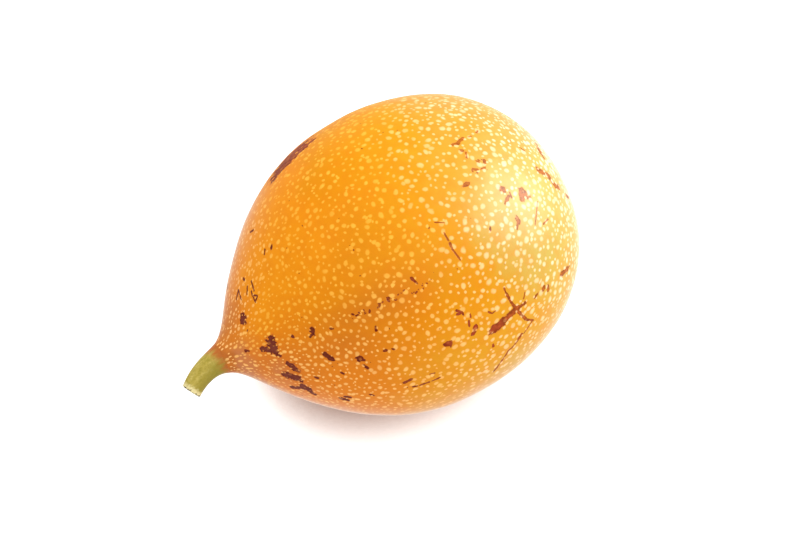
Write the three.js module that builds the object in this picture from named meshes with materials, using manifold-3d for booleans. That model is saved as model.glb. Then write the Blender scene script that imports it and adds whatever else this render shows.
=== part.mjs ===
// A granadilla lying on its side: the fruit, with its neck and blossom scar, and the cut stalk.
// Millimetres, +Z up. The origin is the middle of the small flat spot that the fruit rests on.
// +X points to the blossom end, and the stalk is at -X.

import * as THREE from 'three';
import { mergeVertices } from 'three/addons/utils/BufferGeometryUtils.js';
import Module from 'manifold-3d';

const wasm = await Module();
wasm.setup();

// Driving dimensions. A station is a distance along the fruit's own axis from the foot of its
// shoulder: the neck and the stalk are below 0, and the blossom end is furthest from it.

const fruitRadius = 31.2;
const shoulderLength = 41.2;      // from the foot of the shoulder to the widest section
const crownLength = 35;           // from the widest section to the blossom end
const shoulderLoss = 0.86;        // share of the radius lost at the foot of the shoulder
const shoulderPower = 2.25;       // how long the shoulder stays full before it falls away
const crownPower = 2.2;           // 2 would be an ellipse, more is blunter
const ovalShare = 0.006;          // the fruit isn't quite round across its axis
const lobeShare = 0.004;          // three faint lobes, over the three seed walls

const jointStation = -2.7;        // where the neck ends and the stalk begins
const jointRadius = 3.12;
const jointSlope = 0.26;
const collarStation = 2.4;        // where the neck's flare has run into the shoulder

const blossomScarRadius = 2.6;
const blossomScarDepth = 0.6;
const blossomNubRadius = 0.9;
const blossomNubHeight = 0.7;

const stalkLength = 8.6;
const stalkRadius = 2.4;
const stalkTipRadius = 2.2;
const flareLength = 2.2;          // the stalk's foot thins to stalkRadius over about this length
const stalkBend = THREE.MathUtils.degToRad(36);
const stalkDroop = THREE.MathUtils.degToRad(26);   // of the bend's direction, below level
const cutEdgeRounding = 0.3;
const pithRadius = 1.0;
const pithDepth = 0.25;

const joiningGap = 0.3;           // between the neck's end and the stalk's foot

const lyingTilt = THREE.MathUtils.degToRad(1.5);   // stalk end down, as the fruit balances
const restStation = 39.6;         // the section that touches the ground
const restSpotDepth = 0.4;        // how deep the flat spot is cut
const groundSize = 128;           // the block that cuts it, larger than the fruit

const aroundFruit = 64;
const aroundStalk = 24;
const shoulderSteps = 20;
const crownSteps = 18;
const collarSteps = 6;
const stalkSteps = 10;

// Profiles: points (radius, station) from the lowest station to the highest

function shoulderRadius(station) {
  const fromWidest = (shoulderLength - station) / shoulderLength;
  return fruitRadius * (1 - shoulderLoss * fromWidest ** shoulderPower);
}

function shoulderSlope(station) {
  const fromWidest = (shoulderLength - station) / shoulderLength;
  const steepest = fruitRadius * shoulderLoss * shoulderPower / shoulderLength;
  return steepest * fromWidest ** (shoulderPower - 1);
}

function crownStation(radius) {
  const share = 1 - (radius / fruitRadius) ** crownPower;
  return shoulderLength + crownLength * share ** (1 / crownPower);
}

function bell(radius, width) {
  return Math.exp(-((radius / width) ** 2));
}

// The flare runs out along the joint's slope and comes in along the shoulder's.
function collarPoints() {
  const start = new THREE.Vector2(jointRadius, jointStation);
  const end = new THREE.Vector2(shoulderRadius(collarStation), collarStation);
  const endSlope = shoulderSlope(collarStation);
  const run = collarStation - jointStation;
  const rise = end.x - start.x;
  const beforeEnd = (rise - jointSlope * run) / (endSlope - jointSlope);
  const bend = new THREE.Vector2(end.x - endSlope * beforeEnd, end.y - beforeEnd);
  return new THREE.QuadraticBezierCurve(start, bend, end).getPoints(collarSteps);
}

function shoulderPoints() {
  const points = [];
  for (let step = 1; step <= shoulderSteps; step += 1) {
    const station = collarStation + (shoulderLength - collarStation) * step / shoulderSteps;
    points.push(new THREE.Vector2(shoulderRadius(station), station));
  }
  return points;
}

function crownPoints() {
  const points = [];
  for (let step = 1; step < crownSteps; step += 1) {
    const angle = 0.5 * Math.PI * step / crownSteps;
    const radius = fruitRadius * Math.cos(angle) ** (2 / crownPower);
    points.push(new THREE.Vector2(radius, crownStation(radius)));
  }
  return points;
}

// A shallow dimple with the dry foot of the flower standing in it.
function blossomScarPoints() {
  return [0.9, 0.7, 0.5, 0.35, 0.2, 0].map((share) => {
    const radius = blossomScarRadius * share;
    const dimple = blossomScarDepth * bell(radius, 0.6 * blossomScarRadius);
    const nub = blossomNubHeight * bell(radius, 0.7 * blossomNubRadius);
    return new THREE.Vector2(radius, crownStation(radius) - dimple + nub);
  });
}

function stalkProfileRadius(down) {
  const taper = (stalkRadius - stalkTipRadius) * (1 - down / stalkLength);
  const flare = (jointRadius - stalkRadius) * Math.exp(-down / flareLength);
  return stalkTipRadius + taper + flare;
}

// Down the stalk is negative here, so that the profile still rises.
function stalkPoints() {
  const shaftEnd = stalkLength - cutEdgeRounding;
  const points = [
    new THREE.Vector2(0, pithDepth - stalkLength),
    new THREE.Vector2(pithRadius, 0.6 * pithDepth - stalkLength),
    new THREE.Vector2(stalkTipRadius - cutEdgeRounding, -stalkLength),
    new THREE.Vector2(stalkTipRadius - 0.3 * cutEdgeRounding, 0.3 * cutEdgeRounding - stalkLength),
  ];
  for (let step = 0; step <= stalkSteps; step += 1) {
    const down = shaftEnd + (joiningGap - shaftEnd) * step / stalkSteps;
    points.push(new THREE.Vector2(stalkProfileRadius(down), -down));
  }
  points.push(new THREE.Vector2(0, -joiningGap));
  return points;
}

// Solids

function strippedGeometry(geometry) {
  geometry.deleteAttribute('normal');
  geometry.deleteAttribute('uv');
  return mergeVertices(geometry, 1e-5);
}

// A lathe makes triangles with two corners alike where its profile meets the axis.
function withoutFlatTriangles(index) {
  const kept = [];
  for (let i = 0; i < index.length; i += 3) {
    const [a, b, c] = [index[i], index[i + 1], index[i + 2]];
    if (a !== b && b !== c && c !== a) kept.push(a, b, c);
  }
  return kept;
}

function solidFrom(geometry) {
  const merged = strippedGeometry(geometry);
  return new wasm.Manifold(new wasm.Mesh({
    numProp: 3,
    vertProperties: new Float32Array(merged.attributes.position.array),
    triVerts: new Uint32Array(withoutFlatTriangles(merged.index.array)),
  }));
}

function geometryFrom(solid) {
  const { vertProperties, triVerts } = solid.getMesh();
  const geometry = new THREE.BufferGeometry();
  geometry.setAttribute('position', new THREE.BufferAttribute(vertProperties, 3));
  geometry.setIndex(new THREE.BufferAttribute(triVerts, 1));
  geometry.computeVertexNormals();
  return geometry;
}

// Turns a profile about the X axis, so that its stations run along X.
function turned(points, segments) {
  const geometry = new THREE.LatheGeometry(points, segments);
  return geometry.rotateZ(-Math.PI / 2);
}

function eachVertex(geometry, change) {
  const { position } = geometry.attributes;
  const vertex = new THREE.Vector3();
  for (let i = 0; i < position.count; i += 1) {
    change(vertex.fromBufferAttribute(position, i));
    position.setXYZ(i, vertex.x, vertex.y, vertex.z);
  }
  return geometry;
}

// The widest part is a little oval and lobed, and the neck and the blossom end stay round.
function growUneven(vertex) {
  const around = Math.atan2(vertex.y, vertex.z);
  const fullness = Math.min(1, Math.hypot(vertex.y, vertex.z) / fruitRadius) ** 2;
  const uneven = ovalShare * Math.cos(2 * around) + lobeShare * Math.cos(3 * around + 0.6);
  vertex.y *= 1 + fullness * uneven;
  vertex.z *= 1 + fullness * uneven;
}

// Bends the straight stalk along an arc towards -Y and down, and sets its foot on the joint.
function bendStalk(vertex) {
  const curving = stalkBend / stalkLength;
  const angle = -vertex.x * curving;
  const aside = -vertex.y * Math.cos(stalkDroop) - vertex.z * Math.sin(stalkDroop);
  const across = vertex.y * Math.sin(stalkDroop) - vertex.z * Math.cos(stalkDroop);
  const reach = (1 / curving - aside) * Math.sin(angle);
  const sideways = 1 / curving - (1 / curving - aside) * Math.cos(angle);
  vertex.x = jointStation - reach;
  vertex.y = -sideways * Math.cos(stalkDroop) + across * Math.sin(stalkDroop);
  vertex.z = -sideways * Math.sin(stalkDroop) - across * Math.cos(stalkDroop);
}

// Lays the fruit down: its axis tilts, and the section that touches comes over the origin.
function lyingPlace() {
  const tilt = new THREE.Matrix4().makeRotationY(-lyingTilt);
  const touching = new THREE.Vector3(restStation, 0, -shoulderRadius(restStation));
  touching.applyMatrix4(tilt);
  const shift = new THREE.Matrix4();
  shift.makeTranslation(-touching.x, 0, -restSpotDepth - touching.z);
  return shift.multiply(tilt);
}

function fruitGeometry() {
  const profile = [
    new THREE.Vector2(0, jointStation),
    ...collarPoints(),
    ...shoulderPoints(),
    ...crownPoints(),
    ...blossomScarPoints(),
  ];
  const rind = eachVertex(turned(profile, aroundFruit), growUneven);
  rind.applyMatrix4(lyingPlace());
  const ground = new THREE.BoxGeometry(groundSize, groundSize, groundSize);
  ground.translate(0, 0, -groundSize / 2);
  return geometryFrom(solidFrom(rind).subtract(solidFrom(ground)));
}

function stalkGeometry() {
  const stalk = eachVertex(turned(stalkPoints(), aroundStalk), bendStalk);
  stalk.applyMatrix4(lyingPlace());
  return geometryFrom(solidFrom(stalk));
}

// Materials

const rindMaterial = new THREE.MeshStandardMaterial({
  color: 0xe8901e,
  roughness: 0.42,
  metalness: 0,
});

const stalkMaterial = new THREE.MeshStandardMaterial({
  color: 0xb7a552,
  roughness: 0.7,
  metalness: 0,
});

// The granadilla

const fruit = new THREE.Mesh(fruitGeometry(), rindMaterial);
fruit.name = 'fruit';

const stalk = new THREE.Mesh(stalkGeometry(), stalkMaterial);
stalk.name = 'stalk';

const granadilla = new THREE.Group();
granadilla.add(fruit, stalk);

export default granadilla;
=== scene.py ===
import math

import bpy
import numpy as np
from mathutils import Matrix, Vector, noise
from mathutils.bvhtree import BVHTree
from mathutils.kdtree import KDTree


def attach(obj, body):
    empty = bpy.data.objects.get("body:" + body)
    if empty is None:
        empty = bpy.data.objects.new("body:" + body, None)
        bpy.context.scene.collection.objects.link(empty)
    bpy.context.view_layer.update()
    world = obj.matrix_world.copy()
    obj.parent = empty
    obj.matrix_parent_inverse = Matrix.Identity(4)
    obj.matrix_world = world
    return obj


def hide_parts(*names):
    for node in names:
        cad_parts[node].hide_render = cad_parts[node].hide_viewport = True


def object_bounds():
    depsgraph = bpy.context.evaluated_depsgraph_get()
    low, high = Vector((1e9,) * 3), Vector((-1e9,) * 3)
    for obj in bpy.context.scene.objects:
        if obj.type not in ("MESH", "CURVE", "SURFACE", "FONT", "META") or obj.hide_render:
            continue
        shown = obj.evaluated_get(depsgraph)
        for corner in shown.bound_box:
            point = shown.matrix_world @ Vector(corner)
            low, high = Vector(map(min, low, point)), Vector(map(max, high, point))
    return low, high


# A granadilla lying on its side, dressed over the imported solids.
# Lengths in the dictionaries are millimetres unless a note says otherwise.

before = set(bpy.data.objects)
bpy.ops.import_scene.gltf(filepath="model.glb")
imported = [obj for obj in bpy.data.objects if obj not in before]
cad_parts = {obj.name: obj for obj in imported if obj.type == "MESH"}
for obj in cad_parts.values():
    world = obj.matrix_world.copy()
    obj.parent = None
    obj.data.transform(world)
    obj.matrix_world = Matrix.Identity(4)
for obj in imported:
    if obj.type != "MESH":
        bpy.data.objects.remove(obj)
cadLow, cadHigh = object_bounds()
mm = 0.001
print("frame: nodes", sorted(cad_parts))


def unit(vector):
    return vector / np.linalg.norm(vector)


def meshCorners(mesh, field="co"):
    flat = np.empty(len(mesh.vertices) * 3)
    mesh.vertices.foreach_get(field, flat)
    return flat.reshape(-1, 3)


def wallTree(mesh):
    # A mesh's walls, to cast rays at.
    faces = [tuple(face.vertices) for face in mesh.polygons]
    return BVHTree.FromPolygons(meshCorners(mesh).tolist(), faces)


# How the fruit lies. A station is a distance along it from the neck's end.
fruitSolid, stalkSolid = (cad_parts[name].data for name in ("fruit", "stalk"))
fruitCorners = meshCorners(fruitSolid)
neckEnd = fruitCorners[fruitCorners[:, 0] < fruitCorners[:, 0].min() + 0.4 * mm].mean(0)
blossomEnd = fruitCorners[np.argmax(np.linalg.norm(fruitCorners - neckEnd, axis=1))]
along = unit(blossomEnd - neckEnd)                  # from the neck to the blossom end
upward = unit(np.array([0, 0, 1]) - along[2] * along)
sideways = np.cross(along, upward)                  # towards the camera's side
reachUp = (fruitCorners - neckEnd) @ upward
widestStation = (fruitCorners - neckEnd)[np.argmax(reachUp)] @ along
print("fruit: %.1f mm long, widest %.1f mm from the neck's end"
      % (np.linalg.norm(blossomEnd - neckEnd) / mm, widestStation / mm))

cameraSetup = {
    "azimuth": -31.9,
    "elevation": 60.0,
    "lens": 150.0,
    "distance": 674.0,
    "aim": (-1.56, -0.94, 30.0),
}


def makeCamera(setup):
    turn, tilt = math.radians(setup["azimuth"]), math.radians(setup["elevation"])
    back = Vector((math.sin(turn) * math.cos(tilt),
                   -math.cos(turn) * math.cos(tilt),
                   math.sin(tilt)))
    data = bpy.data.cameras.new("camera")
    data.lens = setup["lens"]
    data.sensor_width = 36
    data.clip_start, data.clip_end = 0.05, 20
    camera = bpy.data.objects.new("camera", data)
    bpy.context.scene.collection.objects.link(camera)
    camera.location = Vector(setup["aim"]) * mm + back * setup["distance"] * mm
    camera.rotation_mode = "QUATERNION"
    camera.rotation_quaternion = back.to_track_quat("Z", "Y")
    bpy.context.scene.camera = camera


makeCamera(cameraSetup)
print("camera placed")


# Each of these adds a shader node to a tree, and most give back what it puts out.

def feed(tree, socket, value):
    if isinstance(value, bpy.types.NodeSocket):
        tree.links.new(value, socket)
    elif socket.type == "RGBA":
        socket.default_value = (*value[:3], 1.0)
    else:
        socket.default_value = value


def addNode(tree, kind, inputs=None, **settings):
    made = tree.nodes.new("ShaderNode" + kind)
    for name, value in settings.items():
        setattr(made, name, value)
    for name, value in (inputs or {}).items():
        feed(tree, made.inputs[name], value)
    return made


def sums(tree, how, *parts, clamp=False):
    made = addNode(tree, "Math", dict(enumerate(parts)), operation=how, use_clamp=clamp)
    return made.outputs[0]


def times(tree, first, *others):
    for other in others:
        first = sums(tree, "MULTIPLY", first, other)
    return first


def spread(tree, value, start, end, low=0.0, high=1.0, **settings):
    made = addNode(tree, "MapRange", {"Value": value, "From Min": start, "From Max": end,
                                      "To Min": low, "To Max": high}, **settings)
    return made.outputs["Result"]


def ease(tree, value, start, end, low=0.0, high=1.0):
    return spread(tree, value, start, end, low, high, interpolation_type="SMOOTHSTEP")


def tint(tree, share, first, second):
    return addNode(tree, "Mix", {0: share, 6: first, 7: second}, data_type="RGBA").outputs[2]


def ramp(tree, value, stops):
    made = addNode(tree, "ValToRGB", {0: value})
    band = made.color_ramp
    while len(band.elements) < len(stops):
        band.elements.new(0.5)
    for element, (place, colour) in zip(band.elements, stops):
        element.position = place
        element.color = (*colour, 1.0)
    return made.outputs["Color"]


def measured(tree, name, part="Fac"):
    return addNode(tree, "Attribute", attribute_name=name).outputs[part]


def noiseAt(tree, place, scale, detail=2.0, rough=0.5):
    made = addNode(tree, "TexNoise",
                   {"Vector": place, "Scale": scale, "Detail": detail, "Roughness": rough})
    return made.outputs["Fac"]


def stretched(tree, place, shares):
    return addNode(tree, "VectorMath", {0: place, 1: shares}, operation="MULTIPLY").outputs[0]


def sideOf(tree, streaks):
    # From 1 on the side turned to sideways to -1 on the other.
    return addNode(tree, "SeparateXYZ", {0: streaks}).outputs[1]


def newGroup(name, inputs, outputs):
    group = bpy.data.node_groups.new(name, "ShaderNodeTree")
    for label, (kind, *value) in inputs.items():
        socket = group.interface.new_socket(label, in_out="INPUT", socket_type="NodeSocket" + kind)
        if value:
            socket.default_value = value[0]
    for label, kind in outputs.items():
        group.interface.new_socket(label, in_out="OUTPUT", socket_type="NodeSocket" + kind)
    start = group.nodes.new("NodeGroupInput")
    end = group.nodes.new("NodeGroupOutput")
    return group, start.outputs, end.inputs


def useGroup(tree, group, **inputs):
    return addNode(tree, "Group", inputs, node_tree=group).outputs


def paintReflectionAtSlant(tree, colour, most):
    # Painted reflection: the base colour is whitened by a Fresnel term where it is seen at a slant,
    # standing in for the white room mirrored in the thin wax.
    slant = addNode(tree, "Fresnel", {"IOR": 1.17}).outputs[0]
    share = times(tree, sums(tree, "SUBTRACT", slant, 0.02, clamp=True), most)
    return tint(tree, share, colour, (1.0, 0.95, 0.88))


def addRelief(tree, shader, height):
    bump = addNode(tree, "Bump", {"Height": height, "Distance": mm, "Strength": 1.0})
    tree.links.new(bump.outputs[0], shader.inputs["Normal"])


def newMaterial(name, roughness, gloss):
    material = bpy.data.materials.new(name)
    material.use_nodes = True
    shader = material.node_tree.nodes["Principled BSDF"]
    shader.inputs["Roughness"].default_value = roughness
    shader.inputs["Specular IOR Level"].default_value = gloss
    return material, material.node_tree, shader


# Shader groups that the materials share. A mark is a speck or one stroke of a scar: Place is a
# point's place in the mark that it is near, with the mark's edge at 1, and then 1 where one is.

def markEdge(group, given):
    parts = addNode(group, "SeparateXYZ", {0: given["Place"]}).outputs
    squares = [times(group, parts[i], parts[i]) for i in (0, 1)]
    distance = sums(group, "SQRT", sums(group, "ADD", *squares))
    return sums(group, "ADD", distance, given["Ragged"]), ease(group, parts[2], 0.98, 1.0)


def makeSpeckGroup():
    group, given, wanted = newGroup(
        "speckLayer",
        {"Place": ("Vector",), "Ragged": ("Float", 0.0), "Softness": ("Float", 0.25)},
        {"Mask": "Float"})
    edge, claimed = markEdge(group, given)
    outer = sums(group, "ADD", 1.0, given["Softness"])
    inner = sums(group, "SUBTRACT", 1.0, given["Softness"])
    group.links.new(times(group, ease(group, edge, outer, inner), claimed), wanted["Mask"])
    return group


def makeScarGroup():
    # A core with a paler heart, and a fringe.
    bands = {"Core": (1.08, 0.85), "Heart": (0.80, 0.45), "Fringe": (1.6, 0.95)}
    group, given, wanted = newGroup("scarLayer", {"Place": ("Vector",), "Ragged": ("Float", 0.0)},
                                    dict.fromkeys(bands, "Float"))
    edge, claimed = markEdge(group, given)
    for label, (outer, inner) in bands.items():
        group.links.new(times(group, ease(group, edge, outer, inner), claimed), wanted[label])
    return group


def makeNeckGroup():
    # How green a point is, and how flushed: the stalk's green runs out in ragged streaks, further
    # along the side turned to sideways, and then comes a flushed band before the plain neck.
    group, given, wanted = newGroup("neckZones", {"Station": ("Float", 0.0), "Place": ("Vector",)},
                                    {"Green": "Float", "Flush": "Float"})
    streaks = noiseAt(group, stretched(group, given["Place"], (3.4, 3.4, 0.35)), 1.0, 4.0, 0.6)
    shift = sums(group, "MULTIPLY_ADD", sideOf(group, given["Place"]), -0.55,
                 spread(group, streaks, 0.3, 0.7, 0.35, 2.15))
    edge = sums(group, "ADD", given["Station"], shift)
    group.links.new(ease(group, edge, 1.5, -1.3), wanted["Green"])
    group.links.new(ease(group, edge, 3.6, 1.7), wanted["Flush"])
    return group


def makeFibreGroup():
    # Height of the stalk's lengthwise fibres and fine fuzz, in millimetres.
    group, given, wanted = newGroup("stalkFibres", {"Place": ("Vector",), "Spot": ("Vector",)},
                                    {"Height": "Float"})
    fibres = noiseAt(group, stretched(group, given["Place"], (9.0, 9.0, 0.5)), 1.0, 3.0)
    fuzz = noiseAt(group, given["Spot"], 2600.0)
    height = sums(group, "ADD", times(group, fibres, 0.10), times(group, fuzz, 0.05))
    group.links.new(height, wanted["Height"])
    return group


def makeGreenGroup():
    # The stalk's green skin: olive with straw mottles, and moss where the mottles are low, in the
    # grain and towards the side turned to sideways.
    group, given, wanted = newGroup(
        "stalkGreen",
        {"Place": ("Vector",), "Spot": ("Vector",), "Olive": ("Color", (0.43, 0.33, 0.060, 1.0)),
         "Straw": ("Color", (0.52, 0.41, 0.105, 1.0)), "Moss": ("Color", (0.29, 0.235, 0.028, 1.0))},
        {"Color": "Color"})
    mottles = noiseAt(group, stretched(group, given["Place"], (2.4, 2.4, 0.5)), 1.0, 4.0, 0.6)
    grain = noiseAt(group, given["Spot"], 2600.0, 3.0)
    colour = tint(group, ease(group, mottles, 0.45, 0.68), given["Olive"], given["Straw"])
    mossy = [ease(group, mottles, 0.46, 0.30), ease(group, sideOf(group, given["Place"]), 0.1, 1.1),
             spread(group, grain, 0.42, 0.66, 0.0, 0.55)]
    for share in mossy:
        colour = tint(group, share, colour, given["Moss"])
    group.links.new(colour, wanted["Color"])
    return group


speckGroup = makeSpeckGroup()
scarGroup = makeScarGroup()
neckGroup = makeNeckGroup()
greenGroup = makeGreenGroup()
fibreGroup = makeFibreGroup()
print("shader groups made")


# Skins are rings of corners round a middle line, felt out with rays from inside the solids.

def ringTurns(around):
    return np.arange(around) * 2 * math.pi / around + math.pi


def spokesAt(turns, first=upward, second=sideways):
    # Directions from first towards second, one for each turn.
    turns = np.asarray(turns)[:, None]
    return np.cos(turns) * first + np.sin(turns) * second


def castRing(tree, origin, rays):
    # Distances from origin to the solid's wall.
    return np.array([tree.ray_cast(Vector(origin), Vector(ray))[3] or np.nan for ray in rays])


def rounded(distances, harmonics):
    # Keeps a ring's roundness and slow lobes, and drops the solid's facets.
    waves = np.fft.rfft(distances)
    waves[harmonics + 1:] = 0
    return np.fft.irfft(waves, len(distances))


def softened(grid, reach):
    # Blurs ring against ring, reach rings each way.
    size = int(3 * reach)
    weights = np.exp(-0.5 * (np.arange(-size, size + 1) / reach) ** 2)
    weights /= weights.sum()
    before = 2 * grid[:1] - grid[size:0:-1]
    after = 2 * grid[-1:] - grid[-2:-2 - size:-1]
    longer = np.concatenate([before, grid, after])
    return sum(w * longer[i:i + len(grid)] for i, w in enumerate(weights))


def latheFaces(rings, around):
    # Faces between the rings, then round the start's tip, then round the end's.
    steps = [(step, (step + 1) % around) for step in range(around)]
    faces = []
    for low in range(0, (rings - 1) * around, around):
        faces += [(low + a, low + b, low + around + b, low + around + a) for a, b in steps]
    start, end, last = rings * around, rings * around + 1, (rings - 1) * around
    faces += [(start, b, a) for a, b in steps]
    faces += [(end, last + a, last + b) for a, b in steps]
    return faces


def latheSpots(around, runs):
    # Where the same faces lie on the bake's map: once round is its width.
    inset, span = 0.01, 0.98
    high = [inset + span * (0.02 + 0.96 * run) for run in runs]
    sides = [(inset + span * step / around, inset + span * (step + 1) / around)
             for step in range(around)]
    spots = []
    for low, top in zip(high, high[1:]):
        for left, right in sides:
            spots += [(left, low), (right, low), (right, top), (left, top)]
    for left, right in sides:
        spots += [((left + right) / 2, inset), (right, high[0]), (left, high[0])]
    for left, right in sides:
        spots += [((left + right) / 2, inset + span), (left, high[-1]), (right, high[-1])]
    return np.array(spots, np.float32)


def makeLatheMesh(name, points, startTip, endTip, runs):
    # points: rings x around x 3. The two tips close it. runs: how far along each ring is, 0 to 1.
    rings, around = points.shape[:2]
    corners = np.concatenate([points.reshape(-1, 3), [startTip], [endTip]])
    mesh = bpy.data.meshes.new(name)
    mesh.from_pydata(corners.tolist(), [], latheFaces(rings, around))
    layer = mesh.uv_layers.new(name="OFBake")
    layer.data.foreach_set("uv", latheSpots(around, runs).ravel())
    mesh.shade_smooth()
    mesh.update()
    return mesh


def flatFaces(mesh, tip):
    # The faces round a tip keep a sharp edge to the rest.
    corner = min(mesh.vertices, key=lambda vertex: (vertex.co - Vector(tip)).length).index
    for face in mesh.polygons:
        if corner in face.vertices:
            face.use_smooth = False


def measure(mesh, name, values):
    # Stores one number or one vector for each corner of the mesh.
    values = np.asarray(values, np.float32)
    kind, field = ("FLOAT", "value") if values.ndim == 1 else ("FLOAT_VECTOR", "vector")
    attribute = mesh.attributes.new(name, kind, "POINT")
    attribute.data.foreach_set(field, values.ravel())


def streakPlaces(corners, centres, stations):
    # Goes once round the stalk and the neck, so that streaks can run along them.
    away = corners - centres
    high, wide = away @ upward, away @ sideways
    size = np.maximum(np.hypot(high, wide), 0.01 * mm)
    return np.stack([high / size, wide / size, stations], axis=-1)


def placePiece(name, mesh, node, material):
    piece = bpy.data.objects.new(name, mesh)
    bpy.context.scene.collection.objects.link(piece)
    mesh.materials.append(material)
    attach(piece, "root")
    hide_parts(node)


rind = {
    "ringGap": 0.385,            # between rings of the mesh
    "around": 316,               # corners in a ring
    "harmonics": 6,              # slow lobes kept from the solid
    "smoothing": 2.2,            # length over which the solid's facets are blurred
    "detailSmoothing": 0.5,      # the same at the neck and the blossom scar
    "neckDetail": 7.0,           # how far from the neck's end that holds
    "blossomDetail": 4.0,        # and from the blossom end
    "unevenness": 0.10,          # height of the rind's slow dents
    "unevenScale": 9.0,
    "dentedGirth": 12.0,         # where it is slimmer than this, the dents run out
    "scarLayers": 8,
    "scarDepth": 0.05,
    "scarFringe": 0.6,           # share of a stroke's half width
    "blossomScar": (3.0, 2.6),   # the dry foot of the flower: how long and how wide
    "toneSpan": 78.0,            # the tones run from the neck's end over this length
    "orange": (0.70, 0.235, 0.002),
    "golden": (0.65, 0.282, 0.003),
    # the blossom end's yellow; its blue is partly painted sheen
    "yellow": (0.58, 0.300, 0.038),
    # a deeper, redder orange: the neck's own tone and the blotches', also laid on the side turned to
    # sideways as painted shade
    "shaded": (0.70, 0.188, 0.004),
    "neckTone": (0.57, 0.18, 0.028),
    "neckFlush": (0.46, 0.130, 0.022),
    "neckSpeck": (0.96, 0.52, 0.170),
    "speck": (0.90, 0.42, 0.040),
    "paleSpeck": (0.92, 0.70, 0.50),
    "lowSpeck": (0.95, 0.60, 0.28),
    "darkPatchTone": (0.50, 0.125, 0.014),
    "scarSpan": 80.0,
    "scarRims": [(8, (0.140, 0.018, 0.008)), (16, (0.105, 0.011, 0.004)), (30, (0.160, 0.008, 0.0)),
                 (44, (0.22, 0.022, 0.0)), (58, (0.19, 0.040, 0.0))],       # by station
    "scarHearts": [(8, (0.19, 0.038, 0.020)), (20, (0.18, 0.026, 0.004)),
                   (31, (0.36, 0.082, 0.022)), (44, (0.37, 0.042, 0.012)),
                   (58, (0.50, 0.115, 0.0))],
    "scarRust": (0.40, 0.108, 0.0),
    "fringe": (0.62, 0.13, 0.015),
    "roughness": 0.40,
    "scarRoughness": 0.43,
    "gloss": 0.08,
    # how much painted reflection the rind's colour takes at a slant
    "paintedReflectionAtSlant": 0.85,
}

# Tones laid over the ground in turn: painted light and shade by side, and a paler tone at the
# blossom end. The first limits are of the side, from 1 towards sideways to -1 away from it, and
# the rest are stations. From the first limit to the second the tone comes in, and where there are
# four, the last two are its least and its greatest share.
paintedLightTones = [
    # painted light: lighter and warmer on the side away from sideways, near the neck
    ((0.80, 0.270, 0.004), (0.75, 0.0), (36, 22), (3, 12)),
    # painted shade: darker and redder on the side turned to sideways, short of the middle
    (rind["shaded"], (0.45, 0.95, 0.0, 0.4), (38, 22)),
    # the blossom end's paler yellow on the side turned to sideways, partly painted sheen
    ((0.50, 0.375, 0.070), (-0.3, 0.45), (46, 66)),
    # painted light: lighter and yellower along the side turned most to sideways
    ((0.70, 0.33, 0.012), (0.75, 1.0, 0.0, 0.5), (20, 34)),
]
neckTones = [((0.50, 0.180, 0.075), (0.0, 0.7), (12, 3))]

# How fine the rind's unevennesses are: cells to a metre.
fineness = {
    "clouds": 55.0,
    "blotches": 330.0,
    "grain": 2300.0,
    "speckEdges": 1300.0,
    "speckStrength": 420.0,
    "scarEdges": 900.0,
    "scarMottles": 1400.0,
    "pores": 1500.0,
}

specks = {
    "seed": 11,
    "tries": 60000,
    "first": 0.5,                # no specks nearer the neck's end than this
    "layers": 7,
    "radius": [(0, 0.20), (12, 0.27), (26, 0.36), (50, 0.42), (64, 0.42)],  # by station
    "clear": [(0, 0.27), (6, 0.34), (12, 0.46), (26, 0.56), (44, 0.50), (60, 0.20),
              (78, 0.16)],       # bare rind between two, by station
    "sparser": 0.35,             # how much more of it there is on the side away from sideways
    "smallest": 0.55,            # share of that radius
    "largest": 1.45,
    "paired": 0.10,              # share that may touch a neighbour
    "drawnOut": 0.65,            # how much longer than wide at the very neck
    "drawnOutOver": 9.0,
    "oddness": 0.22,
    "softness": 0.36,
    "cell": 2.6,                 # side of the boxes that neighbours are looked up in
}


def rindRays(tree):
    # From the neck's end to the widest station rays go straight out; then they fan forward.
    straight = [(station, 0.0) for station in np.linspace(0.05 * mm, widestStation, 300)]
    fan = [(widestStation, lean) for lean in np.linspace(0, math.radians(89.6), 301)[1:]]
    rays = np.array(straight + fan)
    outline = []
    for station, lean in rays:
        ray = math.cos(lean) * spokesAt([1.9]) + math.sin(lean) * along
        reach = castRing(tree, neckEnd + station * along, ray)[0]
        outline.append((station + math.sin(lean) * reach, math.cos(lean) * reach))
    steps = np.linalg.norm(np.diff(np.array(outline), axis=0), axis=1)
    runs = np.concatenate([[0], np.cumsum(steps)])
    wanted = np.linspace(0, runs[-1], int(runs[-1] / (rind["ringGap"] * mm)))
    stations = np.interp(wanted, runs, rays[:, 0])
    leans = np.interp(wanted, runs, rays[:, 1])
    return stations, leans, wanted


def rindPoints():
    tree = wallTree(fruitSolid)
    stations, leans, runs = rindRays(tree)
    origins = neckEnd + stations[:, None] * along
    rays = (np.cos(leans)[:, None, None] * spokesAt(ringTurns(rind["around"]))
            + np.sin(leans)[:, None, None] * along)
    grid = np.array([rounded(castRing(tree, *start), rind["harmonics"])
                     for start in zip(origins, rays)])
    coarse = softened(grid, rind["smoothing"] / rind["ringGap"])
    fine = softened(grid, rind["detailSmoothing"] / rind["ringGap"])
    fromNeck = runs / mm / rind["neckDetail"]
    fromBlossom = (runs[-1] - runs) / mm / rind["blossomDetail"]
    nearDetail = np.maximum(np.exp(-fromNeck ** 2), np.exp(-fromBlossom ** 2))
    grid = coarse + nearDetail[:, None] * (fine - coarse)
    return origins[:, None] + grid[..., None] * rays, rays, runs


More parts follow.
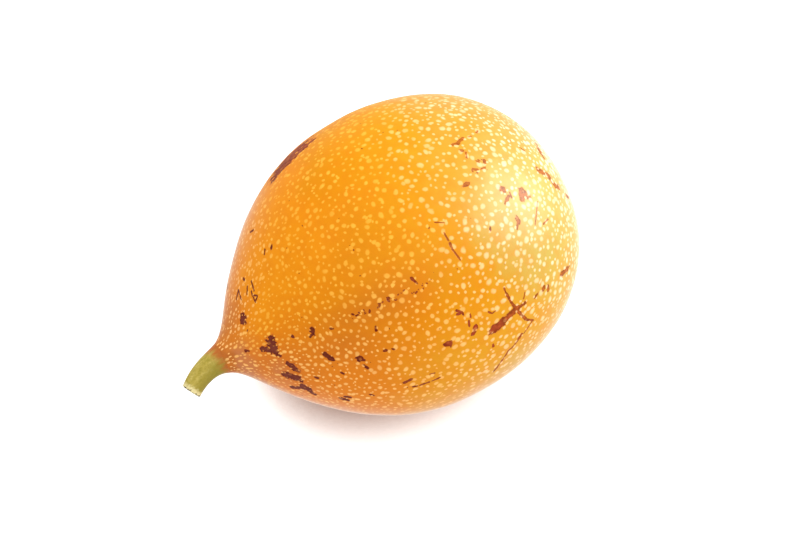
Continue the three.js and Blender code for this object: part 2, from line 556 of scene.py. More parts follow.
def dented(points, rays):
    # The rind is a little uneven, as if pressed by a thumb here and there.
    places = points.reshape(-1, 3) / (rind["unevenScale"] * mm)
    heights = np.array([noise.noise(Vector(place)) + 0.4 * noise.noise(2.7 * Vector(place))
                        for place in places]).reshape(points.shape[:2])
    girth = np.linalg.norm(np.cross(points - neckEnd, along), axis=-1)
    fullness = np.clip(girth / (rind["dentedGirth"] * mm), 0, 1) ** 2
    return points + (heights * fullness * rind["unevenness"] * mm)[..., None] * rays


def onTheGround(points):
    # What would reach below the ground is pressed flat on it.
    points[..., 2] = np.maximum(points[..., 2], 0)
    return points


# Scars on the rind. Each has its place: a station from the neck's end, and degrees round the
# fruit from the top towards its sideways direction. Its strokes start from there: a width, and
# then points of a path, each so far along the fruit and so far round it.
scars = {
    "limb wound": ((31, -52), [
        (5.2, (-1.6, -1.7), (2.3, -1.4)), (2.4, (-3.5, -0.3), (-1, 1)), (2, (0.5, 1.2), (3.5, 1.5)),
        (1.1, (-5.3, 0.5), (-3, 1)), (1.1, (3, 1.4), (5.5, 1.6)),
    ]),
    "crossed bars": ((51, 66), [
        (1.6, (-5.2, 1.4), (-3, 1)), (1.3, (-3, 0.8), (1.2, 0.1)), (0.7, (1.2, 0.1), (3.4, 0)),
        (0.3, (0, -6.2), (0, -4.5)), (0.5, (0, -4.6), (0.5, -2), (1.2, 0.5)),
        (0.6, (1.3, 0.7), (2.6, 4)), (0.4, (2.5, 4), (4.3, 6.2)), (0.3, (4, 6.2), (1.6, 7.6)),
        (0.65, (1, 7.4), (0.3, 8)), (0.42, (0.4, 8), (-1.2, 9.3), (-2.5, 9.7)),
        (0.4, (-2.6, 9.8), (-6.2, 14.4)), (0.3, (3.3, -1.2), (4, -2.2)),
        (0.3, (-4.8, -3.3), (-4.2, -2.5), (-3.3, -2.6)), (0.45, (-5.7, 5), (-5.7, 5.6)),
    ]),
    "beside the bars": ((41, 58), [
        (0.45, (-0.7, -2.7), (0.1, -2)), (0.4, (-0.9, -2), (-0.2, -1.8)),
        (0.4, (0.1, -1.9), (0.2, -1.3)), (0.3, (1.5, -0.7), (1.4, 0.2)),
        (0.35, (0.9, 0.4), (0.6, 1.9)), (0.8, (1.8, 2.7), (0.8, 4)),
    ]),
    "past the bars": ((60, 69), [
        (0.7, (-0.8, -0.8), (-0.4, -1.1)), (0.6, (0.7, -0.7), (0.5, 0.5)),
        (0.5, (-2.9, -0.9), (-2.4, -1.1)), (0.9, (5, 0.8), (7, 1.7)), (0.25, (7, 1.7), (8, 2)),
    ]),
    "long scratch": ((45, 31), [
        (0.3, (-0.4, -3.2), (-0.4, -1.5)), (0.5, (-0.4, -0.8), (-0.4, 0.4)),
        (0.3, (-0.5, 0.4), (0, 3)), (0.2, (-1, -5.8), (0.8, -4.7)), (0.4, (8.5, 0.3), (8.2, 1)),
    ]),
    "hook on the dotted scratch": ((35, 34), [
        (0.5, (-0.1, 0), (0.1, 0.5)), (0.35, (0.1, 0.5), (0.4, 1.4)),
    ]),
    "loops by the neck": ((9.5, -17), [
        (0.32, (-2.1, -2.7), (-0.8, -3.2), (-1.5, -0.8)), (0.32, (0.5, -0.7), (-0.3, 0.2)),
        (0.32, (1.5, -0.3), (0.9, 1.4)), (0.32, (0.5, 0.9), (0.2, 1.7)),
        (0.32, (0.4, 1.9), (0.8, 2.7), (0, 3.1), (0.2, 2.1)), (0.32, (6.4, -1), (5.8, -0.6)),
        (0.32, (-0.7, -10.8), (-1.6, -10.6)), (0.45, (0.9, -2.7), (0.8, -2.3)),
        (0.4, (7, -6.4), (7.4, -5.8)), (0.55, (7.5, -0.2), (7.2, 0)),
    ]),
    "dark blots": ((8.5, 50), [
        (1.7, (-2.1, -11.7), (-2.2, -11.3)), (2, (-0.1, -3.2), (-0.4, -2)),
        (1.4, (-0.4, -1.7), (-0.1, -0.5)), (1.1, (-1.9, -2.2), (-1, -1.8)),
        (0.5, (-4.4, -3.2), (-4, -2.8)), (1.25, (1, 2.1), (1.8, 3.5)), (1.7, (0, 5), (1.7, 5.7)),
        (1.1, (0.6, 9.2), (2.6, 8.1)), (1.2, (2.1, 7.4), (2.8, 8.3)), (0.9, (2.7, 8.4), (3.6, 9.5)),
    ]),
    "blots up the flank": ((17, 57), [
        (0.95, (-1.8, -7.5), (-1.9, -6.7)), (0.5, (-2.1, -6.4), (-2.6, -6.1)),
        (0.5, (-5.2, -7.6), (-5.1, -7.3)), (0.5, (1.1, -6.3), (1.3, -6.2)),
        (1, (-1.5, -1.1), (-0.8, 0.2)), (1.1, (3.4, 1), (3.6, 1)), (0.5, (3.6, 1.2), (4.2, 1.4)),
        (0.6, (3.8, 2.5), (4.3, 3.3)), (0.5, (0, 4), (0.2, 4.2)), (0.5, (-4.2, 5.6), (-4, 5.8)),
        (0.4, (8.2, -4), (8, -3.4)), (0.95, (-1, 13.2), (0, 13.5)), (0.7, (-0.3, 12), (0.4, 12)),
        (0.5, (3.7, 10.5), (4, 10.7)), (0.5, (8, 0.4), (8.3, 0.4)), (0.45, (9.6, 0.5), (9.8, 0.6)),
    ]),
    "low dashes": ((30.5, 80), [
        (0.6, (-3.8, -0.8), (-2.3, -1.4)), (0.38, (-2.3, 1.2), (-1.6, 1.1)),
        (0.42, (-1, 1), (0.7, 0.7)), (0.32, (1.3, 0.6), (3, 0.2)), (0.25, (1.1, -1.7), (2.1, -1.6)),
        (1, (5.7, -7.8), (6.2, -7.6)), (0.35, (6.8, -8.1), (6.3, -6.8)),
    ]),
    "crown patch": ((57.5, 1), [
        (0.75, (-1, -2.2), (-0.2, -2.2)), (0.5, (-0.3, -2.3), (1.5, -2.9)),
        (0.42, (2.7, -2.9), (3.1, -2.9)), (0.55, (4.9, -3.6), (5.4, -4)),
        (0.5, (-0.6, -0.4), (-0.4, -0.2)), (0.42, (0, 0.4), (-0.5, 1.6)),
        (0.5, (2.4, 3.4), (2.1, 4)), (0.45, (-0.8, 4.3), (0, 4.8)), (0.4, (0.9, 4.9), (1.6, 5)),
        (0.7, (-4.3, 6.6), (-3.6, 6.5)),
    ]),
    "crown blots": ((61, 27), [
        (1.1, (-1.2, -3.1), (-1, -2.7)), (0.38, (0, -1.6), (-0.2, -0.6)),
        (0.7, (-1.8, -0.3), (-1.2, -0.7)), (0.5, (-0.8, -1), (-0.5, -1.1)),
        (1.1, (2.6, -0.9), (2, 0.6)), (1.2, (2.8, -0.2), (3.4, 0.8)), (0.9, (-1.3, 3.5), (-1.3, 4)),
        (0.35, (-1.7, 4.3), (-2.3, 5.2)), (0.22, (4.8, 2.9), (3.4, 4.8), (1.9, 6.6)),
        (0.3, (3.8, 7.7), (5.4, 7.6)),
    ]),
    "row at the blossom end": ((72, 23), [
        (0.35, (2.8, -9), (2.3, -6.2)), (0.9, (2, -5.6), (1.9, -4.5)),
        (0.5, (1.9, -4.6), (1.8, -3.2)), (0.3, (-2.8, -6.1), (-2.2, -5.2)),
        (1.1, (-1.7, -1.1), (-1, -0.3)), (1.1, (-0.2, 0.6), (0, 1.3)), (0.4, (-0.1, 1.7), (0, 2.8)),
        (1, (0.4, 3.1), (1.3, 4)), (0.8, (2.7, 7.2), (3.3, 8.6)),
    ]),
}

# Darker, duller patches of the ground; the three on the side turned to sideways are painted shade.
# Station and degrees of the middle, then how far each reaches along the fruit and round it in the
# same units, and how much of the darker tone it takes on.
darkPatches = [
    ((27, 38), (12, 9), 0.5),
    ((19, 50), (7, 12), 0.45),
    ((9, 62), (5, 22), 0.5),
    ((34, 250), (16, 30), 0.4),
]

# Scars strewn by chance: the smallest bits of two scars, all on the side away from the camera,
# and the finest flecks.
strewn = {
    "dottedScratch": {"seed": 4, "count": 46, "stations": (21.5, 38.2), "turns": (36.6, 39.4),
                      "longest": 0.45, "widest": 0.42},
    "crownBits": {"seed": 3, "count": 26, "stations": (56.2, 59.8), "turns": (6.0, 12.0),
                  "longest": 0.9, "widest": 0.42},
    "hidden": {"seed": 7, "count": 34, "stations": (10, 72), "turns": (125, 285),
               "longest": 6.0, "widest": 1.3},
    "flecks": {"seed": 5, "count": 70, "stations": (6, 72), "turns": (-70, 120),
               "longest": 0.35, "widest": 0.22},
}


def strewnScars(rules):
    rng = np.random.default_rng(rules["seed"])
    found = []
    for _ in range(rules["count"]):
        length = rules["longest"] * rng.uniform(0.1, 1) ** 1.8
        width = min(rules["widest"] * rng.uniform(0.4, 1), 0.9 * length + 0.1)
        lean = rng.uniform(0, 2 * math.pi)
        end = (length * math.cos(lean), length * math.sin(lean))
        place = (rng.uniform(*rules["stations"]), rng.uniform(*rules["turns"]))
        found.append((place, [(width, (0, 0), end)]))
    return found


def meshFacts(mesh):
    # Corners, normals, how far apart corners are at most, and two ways to look them up.
    corners = meshCorners(mesh)
    girth = 2 * math.pi * np.linalg.norm(np.cross(corners - neckEnd, along), axis=1)
    spacing = np.hypot(girth / rind["around"], rind["ringGap"] * mm)
    tree = KDTree(len(corners))
    for index, corner in enumerate(corners):
        tree.insert(corner, index)
    tree.balance()
    return {"corners": corners, "normals": meshCorners(mesh, "normal"), "spacing": spacing,
            "tree": tree, "wall": wallTree(mesh)}


def newLayers(facts, count):
    # A corner that no mark claims is far from all of them.
    size = (count, len(facts["corners"]))
    return {"taken": np.zeros(size, bool), "places": np.tile([9.0, 9.0, 0.0], (*size, 1))}


def paintMark(facts, layers, centre, heading, length, width, fringe):
    # Puts a mark in the first layer with room round it. Its corners store where they are in it,
    # and a 1 to say that a mark has claimed them.
    nearby = facts["tree"].find(Vector(centre))[1]
    normal = facts["normals"][nearby]
    lengthwise = unit(heading - (heading @ normal) * normal)
    crosswise = np.cross(normal, lengthwise)
    claimed, clear = np.array([1.1, 2.1]) * facts["spacing"][nearby] / mm
    reach = length / 2 + fringe * width / 2 + clear
    found = facts["tree"].find_range(Vector(centre), reach * mm)
    indices = np.array([index for _, index, _ in found])
    gap = (facts["corners"][indices] - centre) / mm
    run, aside = gap @ lengthwise, gap @ crosswise
    if length > 2.2 * width:
        beyond = np.maximum(np.abs(run) - (length - width) / 2, 0)
        x, y = 2 * beyond / width, 2 * aside / width
    else:
        x, y = 2 * run / length, 2 * aside / width
    outside = (np.hypot(x, y) - 1 - fringe) * width / 2
    mine = outside < claimed
    for taken, places in zip(layers["taken"], layers["places"]):
        if not taken[indices[outside < clear]].any():
            taken[indices[mine]] = True
            places[indices[mine]] = np.stack([x, y, np.ones(len(x))], axis=-1)[mine]
            return True
    return False


def storeLayers(mesh, name, layers):
    for index, places in enumerate(layers["places"]):
        measure(mesh, "%s%d" % (name, index), places)


def onRind(facts, station, turn):
    origin = neckEnd + station * mm * along
    spokes = spokesAt([math.radians(turn)])
    return origin + castRing(facts["wall"], origin, spokes)[0] * spokes[0]


def paintScars(mesh, facts, wanted):
    layers = newLayers(facts, rind["scarLayers"])
    paintMark(facts, layers, blossomEnd, upward, *rind["blossomScar"], rind["scarFringe"])
    made = lost = 0
    for (station, turn), strokes in wanted:
        centre = onRind(facts, station, turn)
        girth = np.linalg.norm(np.cross(centre - neckEnd, along)) / mm
        for width, *path in strokes:
            spots = [onRind(facts, station + x, turn + math.degrees(y / girth)) for x, y in path]
            for start, end in zip(spots, spots[1:]):
                length = np.linalg.norm(end - start) / mm + width
                made += 1
                lost += not paintMark(facts, layers, (start + end) / 2, end - start,
                                      length, width, rind["scarFringe"])
    storeLayers(mesh, "scarPlace", layers)
    print("scars: %d strokes, %d of them lost" % (made, lost))


def randomPlaces(mesh, rng, count):
    # Even over the surface: faces by their area, then a point within the face.
    areas = np.empty(len(mesh.polygons))
    mesh.polygons.foreach_get("area", areas)
    picks = rng.choice(len(areas), count, p=areas / areas.sum())
    places = []
    for face, (u, v) in zip(picks, rng.random((count, 2))):
        a, b, c, *d = (mesh.vertices[i].co for i in mesh.polygons[face].vertices)
        d = d[0] if d else c
        places.append(a.lerp(b, u).lerp(d.lerp(c, u), v))
    return places


def speckAt(place, share, chance):
    # Its radius, the bare rind it wants, and its heading, length and width, or None.
    gap = np.array(place) - neckEnd
    station = gap @ along / mm
    if station < specks["first"]:
        return None
    radius = share * np.interp(station, *zip(*specks["radius"]))
    away = -(gap @ sideways) / np.linalg.norm(np.cross(gap, along))
    clear = np.interp(station, *zip(*specks["clear"]))
    clear *= 1 + specks["sparser"] * np.clip(1.5 * away, 0, 1)
    if chance[0] < specks["paired"]:
        clear = -0.2 * radius
    drawn = specks["drawnOut"] * math.exp(-max(station, 0) / specks["drawnOutOver"])
    odd = 1 + specks["oddness"] * chance[1]
    slant = 0.0 if drawn > 0.15 else math.pi * chance[2]
    heading = math.cos(slant) * along + math.sin(slant) * unit(np.cross(along, gap))
    return radius, clear, heading, 2 * radius * odd * (1 + drawn), 2 * radius / odd


def paintSpecks(mesh, facts):
    rng = np.random.default_rng(specks["seed"])
    layers = newLayers(facts, specks["layers"])
    grid, lost, kept = {}, 0, 0
    places = randomPlaces(mesh, rng, specks["tries"])
    shares = specks["smallest"] + (specks["largest"] - specks["smallest"]) * (
        rng.random(len(places)) ** np.linspace(1.0, 3.0, len(places)))
    for place, share, chance in zip(places, shares, rng.random((len(places), 3))):
        speck = speckAt(place, share, chance)
        if not speck:
            continue
        radius, clear, heading, length, width = speck
        cell = tuple(int(math.floor(value / (specks["cell"] * mm))) for value in place)
        near = [other for i in (-1, 0, 1) for j in (-1, 0, 1) for k in (-1, 0, 1)
                for other in grid.get((cell[0] + i, cell[1] + j, cell[2] + k), ())]
        if any((place - other).length < (radius + size + clear) * mm for other, size in near):
            continue
        if paintMark(facts, layers, np.array(place), heading, length, width, specks["softness"]):
            grid.setdefault(cell, []).append((place, radius))
            kept += 1
        else:
            lost += 1
    storeLayers(mesh, "speckPlace", layers)
    print("specks: %d, and %d with no room in a layer" % (kept, lost))


def darkPatchDepths(stations, turns):
    # How much of the darker tone each corner takes: each patch is deepest in its middle.
    depth = np.zeros(len(stations))
    for (station, turn), (reach, across), most in darkPatches:
        away = ((stations - station) / reach) ** 2 + ((turns - turn) / across) ** 2
        depth = np.maximum(depth, most * np.exp(-away))
    return depth


def makeRindMesh():
    points, rays, runs = rindPoints()
    points = onTheGround(dented(points, rays))
    mesh = makeLatheMesh("granadilla_rind", points, neckEnd, points[-1].mean(0), runs / runs[-1])
    flatFaces(mesh, neckEnd)
    facts = meshFacts(mesh)
    gaps = facts["corners"] - neckEnd
    stations = gaps @ along / mm
    measure(mesh, "station", stations)
    measure(mesh, "streakPlace", streakPlaces(facts["corners"], neckEnd, stations))
    turns = np.arctan2(gaps @ sideways, gaps @ upward)
    measure(mesh, "darkPatch", darkPatchDepths(stations, np.degrees(turns)))
    byChance = [scar for rules in strewn.values() for scar in strewnScars(rules)]
    paintScars(mesh, facts, [*scars.values(), *byChance])
    paintSpecks(mesh, facts)
    print("rind: %d rings, %d faces" % (len(points), len(mesh.polygons)))
    return mesh


def layTones(tree, ground, side, drifted, tones):
    for tone, sideLimits, *stationLimits in tones:
        shares = [ease(tree, drifted, *limits) for limits in stationLimits]
        ground = tint(tree, times(tree, ease(tree, side, *sideLimits), *shares), ground, tone)
    return ground


def groundTone(tree, station, side, place, flush):
    # Deeper at the neck and golden towards the blossom end, with slow clouds and a fine grain, and
    # painted light, shade and sheen laid on by side.
    clouds = noiseAt(tree, place, fineness["clouds"], 3.0)
    drifted = sums(tree, "ADD", station, spread(tree, clouds, 0.3, 0.7, -7.0, 7.0))
    share = spread(tree, drifted, 0.0, rind["toneSpan"])
    ground = ramp(tree, share, [(0.0, rind["neckTone"]), (0.13, rind["shaded"]),
                                (0.36, rind["orange"]), (0.66, rind["golden"]),
                                (0.86, rind["yellow"])])
    # painted light, shade and sheen, by side
    ground = layTones(tree, ground, side, drifted, paintedLightTones)
    # darker patches, mostly painted shade
    ground = tint(tree, measured(tree, "darkPatch"), ground, rind["darkPatchTone"])
    ground = layTones(tree, ground, side, drifted, neckTones)
    ground = tint(tree, ease(tree, station, 2.6, 0.8), ground, rind["neckTone"])
    ground = tint(tree, flush, ground, rind["neckFlush"])
    blotches = spread(tree, noiseAt(tree, place, fineness["blotches"], 3.0), 0.42, 0.70, 0.0, 0.30)
    grain = spread(tree, noiseAt(tree, place, fineness["grain"]), 0.35, 0.65, 0.0, 0.10)
    for depth in (blotches, grain):
        ground = tint(tree, depth, ground, rind["shaded"])
    return ground, share


def speckLayers(tree, side, place, share, green):
    # Where the specks are, and their colour: warm at the neck and palest towards the blossom end.
    blurred = spread(tree, noiseAt(tree, place, fineness["speckEdges"]), 0.25, 0.75, -0.25, 0.25)
    mask = 0.0
    for layer in range(specks["layers"]):
        parts = useGroup(tree, speckGroup, Place=measured(tree, "speckPlace%d" % layer, "Vector"),
                         Ragged=blurred, Softness=specks["softness"])
        mask = sums(tree, "MAXIMUM", mask, parts["Mask"])
    strength = noiseAt(tree, place, fineness["speckStrength"], 1.0)
    mask = times(tree, mask, spread(tree, strength, 0.35, 0.65, 0.65, 1.0),
                 sums(tree, "SUBTRACT", 1.0, green))
    colour = ramp(tree, sums(tree, "MULTIPLY_ADD", side, 0.10, share),
                  [(0.04, rind["neckSpeck"]), (0.18, rind["speck"]), (0.54, rind["speck"]),
                   (1.0, rind["paleSpeck"])])
    return mask, tint(tree, ease(tree, side, 0.3, 1.0, 0.0, 0.4), colour, rind["lowSpeck"])


def scarLayers(tree, place, speckMask):
    # A dark core, its worn heart and a reddish fringe. The specks nibble at their edges.
    ragged = spread(tree, noiseAt(tree, place, fineness["scarEdges"], 4.0, 0.65),
                    0.25, 0.75, -0.90, 0.50)
    ragged = sums(tree, "MULTIPLY_ADD", speckMask, 0.55, ragged)
    masks = {"Core": 0.0, "Heart": 0.0, "Fringe": 0.0}
    for layer in range(rind["scarLayers"]):
        parts = useGroup(tree, scarGroup, Place=measured(tree, "scarPlace%d" % layer, "Vector"),
                         Ragged=ragged)
        for name in masks:
            masks[name] = sums(tree, "MAXIMUM", masks[name], parts[name])
    holes = times(tree, speckMask, 0.30)
    core = times(tree, masks["Core"], sums(tree, "SUBTRACT", 1.0, holes))
    return core, masks["Heart"], masks["Fringe"]


def scarTone(tree, station, side, place, streaks, heart):
    # Dark plum near the neck, red-brown along the flank, rusty towards the blossom end.
    span = spread(tree, station, 0.0, rind["scarSpan"])
    rimTone, heartTone = (
        ramp(tree, span, [(at / rind["scarSpan"], tone) for at, tone in rind[part]])
        for part in ("scarRims", "scarHearts"))
    mottled = sums(tree, "ADD", noiseAt(tree, place, fineness["scarMottles"], 3.0),
                   noiseAt(tree, stretched(tree, streaks, (30.0, 30.0, 0.9)), 1.0))
    worn = times(tree, heart, spread(tree, mottled, 0.8, 1.15, 0.15, 1.0))
    colour = tint(tree, worn, rimTone, heartTone)
    rusty = times(tree, ease(tree, side, 0.75, 0.45), ease(tree, station, 34, 48),
                  spread(tree, mottled, 0.75, 1.15, 0.1, 0.9))
    return tint(tree, rusty, colour, rind["scarRust"])


def paintedReflectionShare(tree, station, side, core):
    # How much painted reflection the colour takes at a slant: little on the side away from sideways
    # from station 28 on, and about a third as much on the scars.
    clearSide = times(tree, ease(tree, side, 0.1, -0.5), ease(tree, station, 16, 28),
                      ease(tree, station, 64, 44, 0.65, 0.95))
    most = spread(tree, clearSide, 0.0, 1.0, rind["paintedReflectionAtSlant"], 0.0)
    return times(tree, most, spread(tree, core, 0.0, 1.0, 1.0, 0.35))


def makeRindMaterial():
    material, tree, shader = newMaterial("granadilla rind", rind["roughness"], rind["gloss"])
    station = measured(tree, "station")
    streaks = measured(tree, "streakPlace", "Vector")
    side = sideOf(tree, streaks)
    place = addNode(tree, "TexCoord").outputs["Object"]
    zones = useGroup(tree, neckGroup, Station=station, Place=streaks)
    skin = useGroup(tree, greenGroup, Place=streaks, Spot=place)["Color"]

    ground, share = groundTone(tree, station, side, place, zones["Flush"])
    speckMask, speckColour = speckLayers(tree, side, place, share, zones["Green"])
    core, heart, fringe = scarLayers(tree, place, speckMask)
    dressed = tint(tree, speckMask, ground, speckColour)
    dressed = tint(tree, times(tree, fringe, 0.45), dressed, rind["fringe"])
    dressed = tint(tree, core, dressed, scarTone(tree, station, side, place, streaks, heart))
    dressed = tint(tree, zones["Green"], dressed, skin)
    # painted reflection: the colour is whitened where the rind is seen at a slant
    dressed = paintReflectionAtSlant(tree, dressed, paintedReflectionShare(tree, station, side, core))
    tree.links.new(dressed, shader.inputs["Base Color"])
    rough = spread(tree, core, 0.0, 1.0, rind["roughness"], rind["scarRoughness"])
    tree.links.new(rough, shader.inputs["Roughness"])

    # relief: fine pores, specks a hair proud, scars sunk, and fibres where the stalk begins
    pores = times(tree, noiseAt(tree, place, fineness["pores"]), 0.025)
    height = sums(tree, "ADD", pores, times(tree, speckMask, 0.018))
    height = sums(tree, "SUBTRACT", height, times(tree, core, rind["scarDepth"]))
    fibres = useGroup(tree, fibreGroup, Place=streaks, Spot=place)["Height"]
    height = sums(tree, "MULTIPLY_ADD", fibres, ease(tree, station, 3.5, 0.0), height)
    addRelief(tree, shader, height)
    return material


placePiece("granadilla_rind", makeRindMesh(), "fruit", makeRindMaterial())


stalk = {
    "ringGap": 0.11,
    "around": 96,                # corners in a ring
    "step": 0.4,                 # how far apart its middle line is felt out
    "tuck": 0.8,                 # how far its foot runs on inside the neck
    "tuckedUnder": 0.12,         # and how much slimmer than the neck it is there
    "jointOverlap": 0.45,        # over this length it takes on the neck's girth
    "harmonics": 3,
    "smoothing": 4,              # rings each way
    "ribHeight": 0.07,           # lengthwise ribs
    "rimRounding": 0.22,
    "faceRings": 9,
    "faceHollow": 0.3,
    "longer": 0.6,               # than the solid, half way across the cut
    "cutSlant": 13.0,            # degrees that the cut leans, and the side that is longest
    "cutSlantTurn": 54.0,
    "tipTaper": 0.2,             # how much slimmer it is at the cut, and how far that reaches
    "taperReach": 3.0,
    "slantFade": 2.5,            # how far from the cut the rings follow its slant
    "straw": (0.50, 0.40, 0.10),
    "cream": (0.72, 0.62, 0.30),
    "dried": (0.20, 0.13, 0.06),
    "darkRim": (0.045, 0.03, 0.015),
    "darkRimEdges": 2500.0,         # how fine their raggedness is: cells to a metre
    "roughness": 0.55,
    "gloss": 0.12,
    # how much painted reflection its colour takes at a slant
    "paintedReflectionAtSlant": 0.6,
}


def stalkMiddle(tree):
    # Feels its way down the solid: a step on, then back to the middle of the walls.
    step = stalk["step"] * mm
    turns = np.linspace(0, 2 * math.pi, 24, endpoint=False)
    place, heading, first = neckEnd - step * along, -along, upward
    line = [place]
    while (tree.ray_cast(Vector(place), Vector(heading))[3] or 0.0) >= 1.5 * step:
        place = place + heading * step
        first = unit(first - (first @ heading) * heading)
        spokes = spokesAt(turns, first, np.cross(heading, first))
        place = place + (castRing(tree, place, spokes)[:, None] * spokes).mean(0)
        heading = unit(place - line[-1])
        line.append(place)
    ahead = tree.ray_cast(Vector(place), Vector(heading))[3] or 0.0
    line.append(place + heading * ahead)
    return np.array(line)


def stalkRings(turns):
    # How far down each ring is, its middle, its heading towards the fruit, its spokes' directions
    # and their lengths. Near the joint the lengths turn into the neck's own.
    tree, neck = wallTree(stalkSolid), wallTree(fruitSolid)
    line = stalkMiddle(tree)
    steps = np.linalg.norm(np.diff(line, axis=0), axis=1)
    downs = stalk["step"] * mm + np.concatenate([[0], np.cumsum(steps)])
    curve = [np.polyfit(np.append(downs, 0), np.append(line[:, i], neckEnd[i]), 3)
             for i in range(3)]
    length = downs[-1] + stalk["longer"] * mm
    shaft = np.arange(length, -stalk["tuck"] * mm, -stalk["ringGap"] * mm)
    centres = np.array([[np.polyval(c, down) for c in curve] for down in shaft])
    headings = np.array([unit([-np.polyval(np.polyder(c), down) for c in curve])
                         for down in shaft])
    joint = stalk["jointOverlap"] * mm
    spokes, radii = [], []
    for centre, heading, down in zip(centres, headings, shaft):
        first = unit(upward - (upward @ heading) * heading)
        spokes.append(spokesAt(turns, first, np.cross(heading, first)))
        origin = centre + heading * (down - np.clip(down, joint, downs[-1] - joint))
        wall = rounded(castRing(tree, origin, spokes[-1]), stalk["harmonics"])
        if down < joint:
            inside = neckEnd + max(-down, 0.1 * mm) * along
            sleeve = rounded(castRing(neck, inside, spokes[-1]), stalk["harmonics"])
            wall += np.clip((joint - down) / joint, 0, 1) * (sleeve - wall)
        radii.append(wall)
    tucked = np.clip(-shaft / mm, 0, 1) * stalk["tuckedUnder"] * mm
    radii = softened(np.array(radii), stalk["smoothing"]) - tucked[:, None]
    return shaft, centres, headings, np.array(spokes), radii


def ribbed(radii, turns, shaft, fromCut):
    # Lengthwise ribs, which run out at the cut and at the neck.
    ribs = np.array([[noise.noise(Vector((2.2 * math.cos(turn), 2.2 * math.sin(turn), 0.08 * s)))
                      for turn in turns] for s in fromCut])
    ribFade = np.clip(fromCut / 1.5, 0.3, 1) * np.clip((shaft / mm) / 2.0, 0, 1)
    return radii + ribs * ribFade[:, None] * stalk["ribHeight"] * mm


def trimmed(radii, fromCut):
    # The taper towards the cut, and the cut's rounded rim.
    rounding = stalk["rimRounding"]
    lost = rounding - np.sqrt(np.maximum(rounding ** 2 - np.maximum(rounding - fromCut, 0) ** 2, 0))
    lost = lost + stalk["tipTaper"] * np.exp(-fromCut / stalk["taperReach"])
    return radii - lost[:, None] * mm


def stalkPoints():
    turns = ringTurns(stalk["around"])
    shaft, centres, headings, spokes, radii = stalkRings(turns)
    fromCut = (shaft[0] - shaft) / mm
    radii = trimmed(ribbed(radii, turns, shaft, fromCut), fromCut)

    # the cut leans, its face is a little hollow, and the rings near it lean too
    slope = math.tan(math.radians(stalk["cutSlant"]))
    towardsTip = np.cos(turns - math.radians(stalk["cutSlantTurn"]))
    lean = -slope * radii[0].mean() * towardsTip
    shares = np.linspace(0, 1, stalk["faceRings"] + 1)[1:-1]
    hollow = stalk["faceHollow"] * mm * (1 - shares ** 2) ** 2
    inward = hollow[:, None] + shares[:, None] * lean
    face = (centres[0] + shares[:, None, None] * radii[0][None, :, None] * spokes[0]
            + inward[..., None] * headings[0])
    fade = np.clip(1 - fromCut / stalk["slantFade"], 0, 1)[:, None] ** 1.5
    shell = (centres[:, None] + radii[..., None] * spokes
             + (lean * fade)[..., None] * headings[:, None])

    fromCut = np.concatenate([(shares - 1) * radii[0].mean() / mm, fromCut])
    downs = np.concatenate([np.full(len(shares), shaft[0]), shaft]) / mm
    middles = np.concatenate([np.repeat(centres[:1], len(shares), 0), centres])
    startTip = centres[0] + stalk["faceHollow"] * mm * headings[0]
    return np.concatenate([face, shell]), middles, fromCut, downs, startTip, centres[-1]


def makeStalkMesh():
    points, middles, fromCut, downs, startTip, endTip = stalkPoints()
    runs = (fromCut - fromCut[0]) / (fromCut[-1] - fromCut[0])
    mesh = makeLatheMesh("cut_stalk", points, startTip, endTip, runs)
    around = points.shape[1]
    corners = np.concatenate([points.reshape(-1, 3), [startTip], [endTip]])
    centres = np.concatenate([np.repeat(middles, around, 0), [startTip], [endTip]])
    stations = np.concatenate([np.repeat(-downs, around), [-downs[0]], [-downs[-1]]])
    measure(mesh, "station", stations)
    measure(mesh, "streakPlace", streakPlaces(corners, centres, stations))
    measure(mesh, "fromCut", np.concatenate([np.repeat(fromCut, around),
                                             [fromCut[0] - 0.3], [fromCut[-1]]]))
    print("stalk: %d rings, %d faces" % (len(points), len(mesh.polygons)))
    return mesh


def makeStalkMaterial():
    material, tree, shader = newMaterial("granadilla stalk", stalk["roughness"],
                                         stalk["gloss"])
    streaks = measured(tree, "streakPlace", "Vector")
    place = addNode(tree, "TexCoord").outputs["Object"]
    zones = useGroup(tree, neckGroup, Station=measured(tree, "station"), Place=streaks)
    skin = useGroup(tree, greenGroup, Place=streaks, Spot=place)["Color"]
    colour = tint(tree, zones["Flush"], rind["neckTone"], rind["neckFlush"])
    colour = tint(tree, zones["Green"], colour, skin)

    # the cut: cream behind a ragged dark rim, and a fibrous straw face
    ragged = spread(tree, noiseAt(tree, place, stalk["darkRimEdges"], 3.0), 0.3, 0.7, -0.25, 0.25)
    edge = sums(tree, "ADD", measured(tree, "fromCut"), ragged)
    colour = tint(tree, ease(tree, edge, 1.25, 0.35), colour, stalk["cream"])
    face = ramp(tree, spread(tree, edge, -2.3, 0.1),
                [(0.0, stalk["straw"]), (0.35, stalk["dried"]), (0.45, stalk["straw"]),
                 (0.8, stalk["dried"]), (0.97, stalk["darkRim"])])
    colour = tint(tree, ease(tree, edge, 0.20, 0.02), colour, face)
    # painted reflection: the colour is whitened where the stalk is seen at a slant
    colour = paintReflectionAtSlant(tree, colour, stalk["paintedReflectionAtSlant"])
    tree.links.new(colour, shader.inputs["Base Color"])
    addRelief(tree, shader, useGroup(tree, fibreGroup, Place=streaks, Spot=place)["Height"])
    return material


placePiece("cut_stalk", makeStalkMesh(), "stalk", makeStalkMaterial())


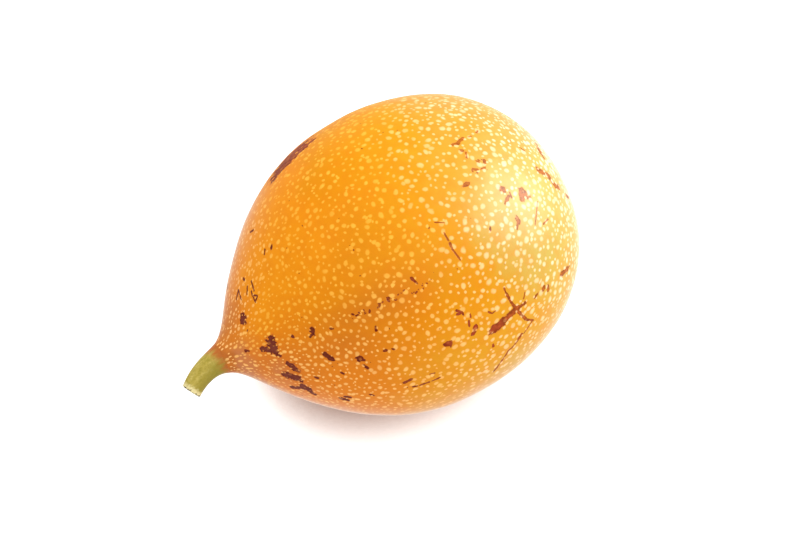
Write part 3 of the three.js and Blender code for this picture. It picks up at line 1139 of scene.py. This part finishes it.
studio = {
    "floorSize": 4000.0,
    "floorRoughness": 0.75,
    "floorGloss": 0.15,
    "floorGrain": 400.0,         # cells to a metre
    "floor": (0.35, 0.35, 0.35),
    "shaded": (0.42, 0.335, 0.295),   # painted shadow: a darker, warmer floor where the glow is taken away
    "glow": 1.0,                 # the table glows evenly; near the fruit the glow is taken away as a painted shadow
    "glowGap": 17.0,             # within this length of it, on the side that glowSide names
    "glowSide": (0.29, -0.40, 0.87),
    "glowFall": (0.32, 0.80),    # shares of the view that side: none of the glow, and all of it
    "shadowTone": (1.0, 0.84, 0.77),
    "sky": 0.45,
}

# Each lamp is a soft box that looks at the fruit: degrees round from +X towards +Y and up from
# level, distance, width and height, and brightness, where 1 is a white that just clips. What
# it lights is the fruit's colour, or the gloss alone.
softBoxes = {
    "window": {"turn": 10, "rise": 12, "distance": 900, "size": (2200, 1500),
               "brightness": 2.6, "lights": "colour"},
    "ceiling": {"turn": 0, "rise": 90, "distance": 1200, "size": (3000, 3000),
                "brightness": 1.1, "lights": "colour"},
    "sheen": {"turn": -16, "rise": 24, "distance": 620, "size": (380, 480),
              "brightness": 41.0, "lights": "gloss"},
}


def makeFloor():
    half = studio["floorSize"] * mm / 2
    mesh = bpy.data.meshes.new("floor")
    mesh.from_pydata([(-half, -half, 0), (half, -half, 0), (half, half, 0), (-half, half, 0)],
                     [], [(0, 1, 2, 3)])
    floor = bpy.data.objects.new("floor", mesh)
    bpy.context.scene.collection.objects.link(floor)
    floor.visible_glossy = False
    material, tree, shader = newMaterial("white table", studio["floorRoughness"],
                                         studio["floorGloss"])
    place = addNode(tree, "TexCoord").outputs["Object"]
    speckle = spread(tree, noiseAt(tree, place, studio["floorGrain"]), 0.3, 0.7, 0.985, 1.015)
    # Painted contact shadow: ambient occlusion, leaning towards glowSide, darkens the floor's
    # colour, warms its glow and takes the glow away near the fruit.
    lean = addNode(tree, "CombineXYZ", dict(enumerate(studio["glowSide"]))).outputs[0]
    clear = addNode(tree, "AmbientOcclusion",
                    {"Distance": studio["glowGap"] * mm, "Normal": lean}, samples=16).outputs["AO"]
    clear = ease(tree, clear, *studio["glowFall"])
    colour = tint(tree, clear, studio["shaded"], studio["floor"])
    colour = addNode(tree, "VectorMath", {0: colour, "Scale": speckle}, operation="SCALE")
    tree.links.new(colour.outputs[0], shader.inputs["Base Color"])
    glowTone = tint(tree, clear, studio["shadowTone"], (1.0, 1.0, 1.0))
    tree.links.new(glowTone, shader.inputs["Emission Color"])
    tree.links.new(times(tree, clear, studio["glow"]), shader.inputs["Emission Strength"])
    mesh.materials.append(material)


def makeSoftBox(name, box):
    turn, rise = math.radians(box["turn"]), math.radians(box["rise"])
    towards = Vector((math.cos(turn) * math.cos(rise),
                      math.sin(turn) * math.cos(rise), math.sin(rise)))
    width, height = (side * mm for side in box["size"])
    data = bpy.data.lights.new(name, "AREA")
    data.shape = "RECTANGLE"
    data.size, data.size_y = width, height
    data.energy = box["brightness"] * math.pi * width * height
    lamp = bpy.data.objects.new(name, data)
    lamp.visible_glossy = box["lights"] == "gloss"
    lamp.visible_diffuse = box["lights"] == "colour"
    bpy.context.scene.collection.objects.link(lamp)
    middle = Vector((cadLow + cadHigh) / 2)
    lamp.location = middle + towards * box["distance"] * mm
    lamp.rotation_mode = "QUATERNION"
    lamp.rotation_quaternion = towards.to_track_quat("Z", "Y")


def makeSky():
    world = bpy.data.worlds.new("white room")
    world.use_nodes = True
    background = world.node_tree.nodes["Background"]
    background.inputs["Color"].default_value = (1, 1, 1, 1)
    background.inputs["Strength"].default_value = studio["sky"]
    bpy.context.scene.world = world


makeFloor()
for name, box in softBoxes.items():
    makeSoftBox(name, box)
makeSky()
bpy.context.scene.view_settings.view_transform = "Standard"
print("studio lit")
